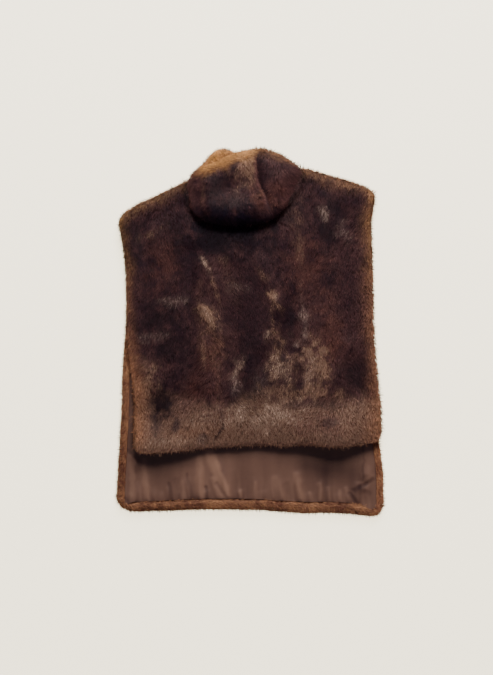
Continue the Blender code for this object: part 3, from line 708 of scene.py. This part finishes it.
# Where the nap lies another way: soft long patches of painted sheen and shade, with some brown and
# russet ones of tone, laid one over the other. Sizes are in mm, and turn is the way of the long
# side, in degrees from +X.
Nap = namedtuple("Nap", "shade x y half_length half_width turn strength")
FRONT_NAP = (
    Nap("brown", 140, -10, 130, 62, 92, 0.75),
    Nap("brown", -80, -60, 120, 34, 95, 0.7),
    Nap("brown", -20, 40, 120, 60, 90, 0.35),
    Nap("brown", 205, 40, 190, 30, 90, 0.5),
    Nap("russet", 112, 120, 60, 42, 95, 0.55),
    Nap("russet", -165, 150, 60, 36, 85, 0.5),
    Nap("russet", -110, -105, 50, 30, 80, 0.5),
    Nap("russet", 165, -28, 26, 26, 90, 0.5),
    Nap("tan", 0, -150, 300, 34, 0, 0.4),
    Nap("russet", 160, -180, 90, 34, 0, 0.5),
    Nap("gold", -120, -196, 90, 20, 4, 0.22),
    Nap("brown", -150, -150, 60, 24, 20, 0.35),
    Nap("tan", -205, -100, 60, 36, 85, 0.5),
    Nap("tan", 205, -170, 70, 40, 85, 0.6),
    Nap("shade", -157, 200, 46, 36, 0, 0.62),
    Nap("shade", -120, 160, 30, 30, 0, 0.45),
    # Painted shadow under the roll's lip.
    Nap("shade", -38, 195, 84, 42, 0, 0.75),
    Nap("painted_shadow", -56, 200, 70, 26, 0, 0.9),
    Nap("shade", -62, 180, 58, 30, 0, 0.8),
    Nap("shade", -82, 184, 36, 22, 50, 0.75),
    Nap("tan", -60, 144, 16, 9, 0, 0.4),
    Nap("dark", -122, 100, 100, 13, 90, 0.85),
    Nap("dark", 190, 80, 96, 18, 92, 0.5),
    Nap("shade", -165, 28, 62, 30, 0, 0.7),
    Nap("shade", -165, -36, 62, 24, 5, 0.7),
    Nap("dark", -140, -80, 62, 34, 30, 0.6),
    Nap("shade", 163, 250, 24, 18, 100, 0.7),
    Nap("shade", 148, 202, 30, 17, 110, 0.7),
    Nap("shade", -226, 196, 48, 20, 95, 0.6),
    Nap("dark", 0, 30, 110, 40, 92, 0.65),
    Nap("shade", -181, -130, 36, 26, 150, 0.9),
    Nap("shade", -184, -172, 42, 15, 95, 0.75),
    Nap("shade", 2, -46, 60, 24, 95, 0.55),
    Nap("shade", 74, 40, 34, 15, 88, 0.5),
    Nap("dark", 6, -88, 36, 22, 92, 0.5),
    Nap("shade", 76, 16, 36, 15, 92, 0.6),
    Nap("russet", 152, -4, 52, 22, 92, 0.55),
    Nap("shade", 4, -112, 26, 14, 40, 0.4),
    Nap("grey", 20, -92, 34, 24, 80, 0.3),
    Nap("shade", 204, -84, 40, 34, 75, 0.75),
    Nap("shade", 80, -107, 24, 11, 135, 0.75),
    Nap("dark", 132, -136, 30, 9, 165, 0.6),
    Nap("dark", 60, 22, 48, 14, 97, 0.7),
    Nap("dark", -145, -182, 13, 9, 60, 0.8),
    Nap("dark", -96, -206, 15, 9, 20, 0.8),
    Nap("dark", -58, -160, 10, 8, 60, 0.5),
    Nap("dark", 153, -174, 20, 8, 20, 0.55),
    Nap("tan", 91, 228, 46, 17, 90, 0.3),
    Nap("tan", 98, 160, 40, 9, 95, 0.4),
    Nap("grey", 179, 201, 26, 15, 120, 0.36),
    Nap("grey", 144, 234, 20, 9, 115, 0.65),
    Nap("pale", -87, 134, 24, 6, 117, 0.65),
    Nap("tan", -72, 95, 36, 6, 107, 0.6),
    Nap("tan", -78, 8, 74, 24, 112, 0.45),
    Nap("tan", -76, 22, 38, 12, 124, 0.9),
    Nap("pale", -77, 24, 28, 6, 124, 0.45),
    Nap("russet", -72, -42, 46, 20, 92, 0.55),
    Nap("tan", -90, -42, 38, 5, 92, 0.5),
    Nap("tan", -66, -60, 36, 12, 95, 0.35),
    Nap("tan", -35, 96, 42, 16, 100, 0.25),
    Nap("grey", -24, 88, 20, 10, 0, 0.3),
    Nap("tan", 26, 112, 24, 8, 125, 0.5),
    Nap("tan", 46, 67, 20, 11, 110, 0.85),
    Nap("pale", 49, 68, 12, 7, 120, 0.5),
    Nap("tan", 43, 14, 34, 6, 90, 0.6),
    Nap("pale", 32, -2, 8, 6, 60, 0.5),
    Nap("grey", 105, 24, 60, 10, 95, 0.45),
    Nap("grey", 105, -4, 16, 5, 95, 0.5),
    Nap("grey", 89, -22, 12, 9, 0, 0.6),
    Nap("grey", -190, -10, 30, 13, 5, 0.38),
    Nap("grey", -146, 64, 30, 11, 8, 0.42),
    Nap("tan", -196, 196, 28, 9, 28, 0.45),
    Nap("tan", 56, -58, 56, 26, 92, 0.6),
    Nap("tan", 50, -2, 44, 8, 82, 0.45),
    Nap("pale", 58, -66, 34, 20, 120, 0.5),
    Nap("tan", 46, -110, 46, 16, 12, 0.45),
    Nap("tan", 93, -66, 32, 12, 92, 0.4),
    Nap("tan", 130, -66, 66, 31, 88, 0.8),
    Nap("grey", 118, -80, 60, 20, 80, 0.4),
    Nap("pale", -20, -66, 24, 11, 62, 0.62),
    Nap("grey", -30, -100, 28, 10, 85, 0.55),
    Nap("tan", -198, -92, 44, 21, 80, 0.8),
    Nap("tan", 112, -116, 66, 20, 3, 0.6),
    Nap("pale", 26, -162, 88, 28, 6, 0.56),
    Nap("pale", 8, -176, 30, 14, 6, 0.3),
    Nap("pale", 196, -150, 34, 18, 10, 0.2),
    Nap("pale", -92, -170, 46, 20, 8, 0.3),
    Nap("pale", -150, -212, 90, 16, 3, 0.4),
    Nap("shade", -64, -197, 17, 3.0, 58, 0.95),
)


def brushed(places, colours, naps, seed):
    """Colours with the nap's patches laid over them. Light patches, which are painted sheen, are
    speckled, as more hairs or fewer turn their side to the eye; the others, painted shade or tone,
    are soft."""
    draw = np.random.default_rng(seed)
    ragged = 0.5 * uneven(places, 16, seed) + 0.35 * uneven(places, 6, seed + 1)
    tufts = 0.5 + 0.5 * uneven(places * (1, 0.6, 1), 2.6, seed + 2)
    turned = 0.55 * draw.uniform(0, 1, len(places)) + 0.45 * tufts
    for nap in naps:
        turn = math.radians(nap.turn)
        offset = places[:, :2] - (nap.x, nap.y)
        along = offset @ (math.cos(turn), math.sin(turn)) / nap.half_length
        across = offset @ (-math.sin(turn), math.cos(turn)) / nap.half_width
        share = nap.strength * (1 - soft_step(0.1, 1.5, np.hypot(along, across) + ragged))
        if nap.shade in ("tan", "grey", "pale"):
            share = (share * np.where(turned < share, 1.4, 0.36)).clip(0, 1)
        colours = mix(colours, NAP_SHADES[nap.shade], share)
    return colours


front_form, roll_form = form_of("front_panel"), form_of("collar_front")
front_cloth = ground_cloth("front_panel", "front_cloth", FRONT_PILE_MM, GROUND_CELL_MM,
                           pressed_by=roll_form)
front_x, front_y = points_of("front_panel")[:, :2].T
outline_y = np.arange(*OUTLINE_Y_MM, OUTLINE_STEP_MM)
outline_rows = [front_x[np.abs(front_y - y) < OUTLINE_NEAR_MM] for y in outline_y]
outline_right = np.array([row.min() for row in outline_rows])
outline_left = np.array([row.max() for row in outline_rows])
outline_x = np.arange(*OUTLINE_X_MM, OUTLINE_STEP_MM)
outline_top = np.array([front_y[np.abs(front_x - x) < OUTLINE_NEAR_MM].max() for x in outline_x])


def from_sides(roots):
    """How far roots are in from the front's right side and from its left."""
    return (roots[:, 0] - np.interp(roots[:, 1], outline_y, outline_right),
            np.interp(roots[:, 1], outline_y, outline_left) - roots[:, 0])


def front_shows(middles, tilts):
    """The front's upper side and edges, away from what the roll covers."""
    return ~well_under(middles, roll_form) & (tilts[:, 2] > -0.5)


def front_nap(roots):
    """Combed to the hem, and swayed by handling."""
    turn = 0.6 * uneven(roots, 70, 31) + 0.4 * uneven(roots, 24, 32) + 0.12 * uneven(roots, 9, 33)
    return np.stack([np.sin(turn), -np.cos(turn), np.full(len(roots), -0.04)], axis=1)


def rim_light_share(inward, width, power):
    """1 at an edge, where the pile turns over and painted rim light is laid, and 0 at this width in
    from it.
    """
    return (1 - soft_step(-4, width, inward)) ** power


def front_colours(roots, normals, seed, bright):
    """Dark brown, with the nap's patches of painted sheen and shade, and painted light: golden at
    the edges, tan along the hem, and lighter where the pile turns away from the lamp low down.
    """
    draw = np.random.default_rng(seed)
    mottle = (0.31 + 0.3 * uneven(roots, 28, 41) + 0.3 * uneven(roots, 9, 42)).clip(0, 1)
    tip = mix(NAP_SHADES["dark"], NAP_SHADES["brown"], mottle)
    ragged = 3 * uneven(roots, 9, 44) + 3 * uneven(roots, 24, 45)
    # Painted sheen: a lighter tan band above the hem, where the nap is brushed up.
    hem_band = 1 - soft_step(-156, -114, roots[:, 1] + 2.5 * ragged + 14 * uneven(roots, 60, 46))
    tip = mix(tip, NAP_SHADES["tan"] * 0.86, 0.72 * hem_band)
    tip = brushed(roots, tip, FRONT_NAP, 43)
    right, left = from_sides(roots)
    from_top = np.interp(roots[:, 0], outline_x, outline_top) - roots[:, 1]
    lowest = 1 - soft_step(-190, -60, roots[:, 1])
    low_down = 1 - soft_step(-120, 60, roots[:, 1])
    # Painted rim light: golden, olive high up, and brighter at the edges, where the fringe is lit
    # through.
    painted_rim_light = (rim_light_share(right + 1.3 * ragged, 28 + 18 * low_down, 1.4) * (0.72 + 0.4 * low_down)
              + rim_light_share(left + ragged, 40 + 20 * lowest, 1.7) * (0.9 + 0.15 * lowest)
              + rim_light_share(from_top + 1.5 * ragged, 38, 1.5) * 0.65)
    high_up = soft_step(40, 190, roots[:, 1]) * np.where(roots[:, 0] < 0, 1, 0.6)
    rim_light_colour = mix(NAP_SHADES["gold"], NAP_SHADES["olive"], high_up)
    tip = mix(tip, rim_light_colour, (painted_rim_light * draw.uniform(0.5, 1.1, len(roots))).clip(0, 1))
    tip = tip * (1 + 0.4 * painted_rim_light.clip(0, 1) ** 2 * (1 - lowest))[:, None]
    # Tan tips along the hem, partly their own colour and partly painted light where the hem turns
    # away from the lamp.
    at_hem = 1 - soft_step(-232, -200, roots[:, 1] + ragged)
    tip = mix(tip, NAP_SHADES["tan"], 0.6 * at_hem)
    # Painted light on the pile low on the front that turns down towards the hem, away from the lamp.
    tip = tip * (1 + 1.1 * (-normals[:, 1]).clip(0, 1) * low_down)[:, None]
    tip = tip * (bright + draw.normal(0, 0.22, len(roots))).clip(0.35, 2.0)[:, None]
    return tip * 0.75, glinting(tip, seed + 200)


def ruffled(roots, depths):
    """The pile beside the roll's ends stands up and hides its edge."""
    beside = np.zeros(len(roots), bool)
    for step in (RUFFLED_BESIDE_MM, -RUFFLED_BESIDE_MM):
        beside |= over(roots + (step, 0, 0), roll_form)
    return depths + RUFFLED_MM * beside * soft_step(240, 262, roots[:, 1])


def front_fur(name, hairs, reach, bright, seed):
    """The front's underfur or its guard hair."""
    roots, normals, depths = roots_on(front_cloth, front_form, hairs.count, front_shows, seed)
    fur = grow_fur(name, hairs, roots, normals, ruffled(roots, depths) * reach, front_nap(roots),
                   front_colours(roots, normals, seed + 1, bright), seed + 2)
    finish_fur(fur)
    return fur


front_underfur = front_fur("front_underfur", FRONT_UNDER_HAIRS, FRONT_UNDER_REACH,
                           FRONT_UNDER_BRIGHT, 5)
front_guard = front_fur("front_guard_hair", FRONT_GUARD_HAIRS, FRONT_GUARD_REACH,
                        FRONT_GUARD_BRIGHT, 8)
tint_ground(front_cloth,
            lambda roots, normals: front_colours(roots, normals, 6, FRONT_UNDER_BRIGHT))
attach(front_cloth, "root")
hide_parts("front_panel")

# Collar, back half. The same tube of fur-fabric as the roll in front, seen past its top fold where
# its pale undercolour shows.
COLLAR_CELL_MM = 3.5
NAPE_PILE_MM = 4.5
NAPE_HAIRS = Hairs(11000, (7.0, 11.0), 0.85, 5.0, 0.3)
NAPE_COVERED_MM = 10
nape_cloth = ground_cloth("collar_back", "nape_cloth", NAPE_PILE_MM, COLLAR_CELL_MM)


def nape_shows(middles, tilts):
    """All but what rests on the surface and what the roll covers."""
    covered = over(middles, roll_form) & over(middles + (0, NAPE_COVERED_MM, 0), roll_form)
    return ~covered & (tilts[:, 2] > -0.5) & (middles[:, 2] > 1)


def nape_nap(roots):
    """Combed towards the top fold and outwards."""
    turn = 0.5 * uneven(roots, 22, 51) + 0.3 * uneven(roots, 8, 52)
    return np.stack([np.sin(turn) - 0.2, np.cos(turn), np.full(len(roots), -0.05)], axis=1)


def nape_colours(roots, seed):
    """Light golden, browner in streaks and low down."""
    draw = np.random.default_rng(seed)
    light, gold, brown = NAP_SHADES["light_gold"], NAP_SHADES["gold"], NAP_SHADES["brown"]
    tone = (0.5 + 0.5 * uneven(roots, 14, 53) + 0.4 * uneven(roots, 5, 54)).clip(0, 1)
    tip = mix(gold, light, tone)
    low_down = 1 - soft_step(2, 12, roots[:, 2])
    tip = mix(tip, brown, 0.7 * low_down)
    tufts = uneven(roots * (1, 0.6, 1), 4.5, 55)
    tip = tip * (0.68 + 0.22 * tufts + draw.normal(0, 0.34, len(roots))).clip(0.2, 1.8)[:, None]
    return tip * 0.4, tip


nape_form = form_of("collar_back")
roots, normals, depths = roots_on(nape_cloth, nape_form, NAPE_HAIRS.count, nape_shows, 12)
nape_fur = grow_fur("collar_back_fur", NAPE_HAIRS, roots, normals, depths, nape_nap(roots),
                    nape_colours(roots, 13), 14)
finish_fur(nape_fur)
tint_ground(nape_cloth, lambda roots, normals: nape_colours(roots, 13))
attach(nape_cloth, "root")
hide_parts("collar_back")

# Collar, front half: the roll. A tube of the fur-fabric turned down over the front, pinched by one
# deep crease, with its lip free of the front's pile.
ROLL_PILE_MM = 5.0
ROLL_HAIRS = Hairs(30000, (8.0, 12.0), 1.0, 7.0, 0.12)
# The roll's nap, as on the front: light patches are painted sheen, and the shade, dark and navy ones
# painted shade along its crease, in a fold and on its lower lip.
ROLL_NAP = (
    Nap("brown", 66, 300, 60, 46, 120, 0.4),
    Nap("tan", -14, 320, 38, 22, 80, 0.75),
    Nap("grey", -22, 272, 26, 14, 60, 0.22),
    Nap("light_gold", -66, 325, 46, 11, 15, 0.6),
    Nap("shade", -66, 284, 44, 28, 100, 0.7),
    Nap("shade", -30, 250, 40, 18, 0, 0.65),
    Nap("grey", -24, 258, 24, 10, 20, 0.2),
    Nap("grey", -60, 286, 36, 24, 100, 0.1),
    Nap("brown", -118, 268, 44, 14, 95, 0.6),
    Nap("dark", -102, 264, 36, 6, 95, 0.5),
    Nap("tan", -89, 274, 26, 4, 92, 0.4),
    Nap("russet", 14, 262, 24, 11, 115, 0.7),
    Nap("russet", 44, 262, 28, 16, 75, 0.6),
    Nap("painted_shadow", -34, 226, 74, 19, 0, 0.9),
    Nap("shade", 20, 312, 44, 8, 97, 0.85),
    Nap("shade", 33, 262, 34, 5, 100, 0.8),
)
roll_cloth = ground_cloth("collar_front", "roll_cloth", ROLL_PILE_MM, COLLAR_CELL_MM)


def roll_shows(middles, tilts):
    """All but the roll's underside."""
    return tilts[:, 2] > -0.5


def roll_nap(roots, normals):
    """Combed down from the top fold, swayed, and out over the edges."""
    turn = 0.5 * uneven(roots, 40, 61) + 0.4 * uneven(roots, 14, 62)
    x = np.sin(turn) + 1.6 * normals[:, 0]
    y = -np.cos(turn) + 1.8 * normals[:, 1].clip(0, 1)
    return np.stack([x, y, np.full(len(roots), -0.04)], axis=1)


def roll_colours(roots, normals, seed):
    """Dark brown as the front, with painted light: golden along the top fold, which faces the lamp,
    and lighter on the flanks, against the shade beside them.
    """
    draw = np.random.default_rng(seed)
    brown = NAP_SHADES["brown"]
    mottle = (0.28 + 0.35 * uneven(roots, 15, 63) + 0.35 * uneven(roots, 5, 64)).clip(0, 1)
    tip = mix(NAP_SHADES["dark"], brown, mottle)
    tip = brushed(roots, tip, ROLL_NAP, 65)
    # Painted light on the top fold, where it faces the lamp.
    painted_top_light = soft_step(0.15, 0.7, normals[:, 1]) * (0.9 - 0.5 * soft_step(-10, 25, roots[:, 0]))
    painted_top_light *= soft_step(-116, -84, roots[:, 0])
    tip = mix(tip, NAP_SHADES["light_gold"] * 0.55, painted_top_light)
    # Painted light on the flanks, which lifts the shade there.
    painted_flank_light = soft_step(0.3, 0.8, np.abs(normals[:, 0])) * soft_step(235, 260, roots[:, 1])
    tip = mix(tip, brown * 1.5, 0.75 * painted_flank_light)
    tip = tip * (1 + draw.normal(0, 0.23, len(roots))).clip(0.3, 2.0)[:, None]
    return tip * 0.6, glinting(tip, seed + 200)


roots, normals, depths = roots_on(roll_cloth, roll_form, ROLL_HAIRS.count, roll_shows, 15)
roll_fur = grow_fur("collar_front_fur", ROLL_HAIRS, roots, normals, depths,
                    roll_nap(roots, normals), roll_colours(roots, normals, 16), 17)
finish_fur(roll_fur)
tint_ground(roll_cloth, lambda roots, normals: roll_colours(roots, normals, 16))
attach(roll_cloth, "root")
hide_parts("collar_front")

# Floor. A plain pale matt board that gives back soft light, so that shadows on it stay pale. Two
# soft lamps light it, one from past the neck and one from above.
BOARD_PALE, BOARD_LIT = "#b8b4ac", "#fbeecc"
STUDIO_TINT = (0.80, 0.62, 1.0, 1)
bpy.ops.object.select_all(action="DESELECT")
bpy.ops.mesh.primitive_plane_add(size=8)
floor = bpy.context.object
floor.name = "floor"
board, tree, shader = plain_material("pale_lit_board", {
    "Base Color": (*linear(BOARD_PALE), 1), "Roughness": 0.9, "Specular IOR Level": 0.2,
    "Emission Color": (*linear(BOARD_LIT), 1), "Emission Strength": 2.9})
floor.data.materials.append(board)


def soft_light(name, at, size, power):
    """A square lamp that faces the middle of the garment."""
    lamp = bpy.data.lights.new(name, "AREA")
    lamp.size = size
    lamp.energy = power
    thing = bpy.data.objects.new(name, lamp)
    bpy.context.scene.collection.objects.link(thing)
    thing.location = at
    thing.rotation_euler = (-Vector(at)).to_track_quat("-Z", "Y").to_euler()


soft_light("key_light", at=(0.25, 2.65, 1.75), size=1.6, power=250)
soft_light("fill_light", at=(-0.6, -0.6, 3.2), size=2.6, power=6)
world = bpy.data.worlds.new("studio")
world.use_nodes = True
background = world.node_tree.nodes["Background"]
background.inputs["Color"].default_value = STUDIO_TINT
background.inputs["Strength"].default_value = 0.11
bpy.context.scene.world = world

# Camera. Straight above the garment: each of the 675 picture dots down the picture is 1.953 mm on
# the cloth, at the level of the front's pile.
CAMERA_HEIGHT = 4.2
PICTURE_HEIGHT = 675 * 1.953 * MM
PICTURE_MIDDLE_MM = (-7.8, -10.7)
SENSOR_MM = 36.0
PILE_TOP = 24 * MM
camera_data = bpy.data.cameras.new("camera")
camera_data.sensor_width = SENSOR_MM
camera_data.lens = SENSOR_MM * (CAMERA_HEIGHT - PILE_TOP) / PICTURE_HEIGHT
camera_data.clip_end = 50
camera = bpy.data.objects.new("camera", camera_data)
camera.location = (PICTURE_MIDDLE_MM[0] * MM, PICTURE_MIDDLE_MM[1] * MM, CAMERA_HEIGHT)
bpy.context.scene.collection.objects.link(camera)
bpy.context.scene.camera = camera
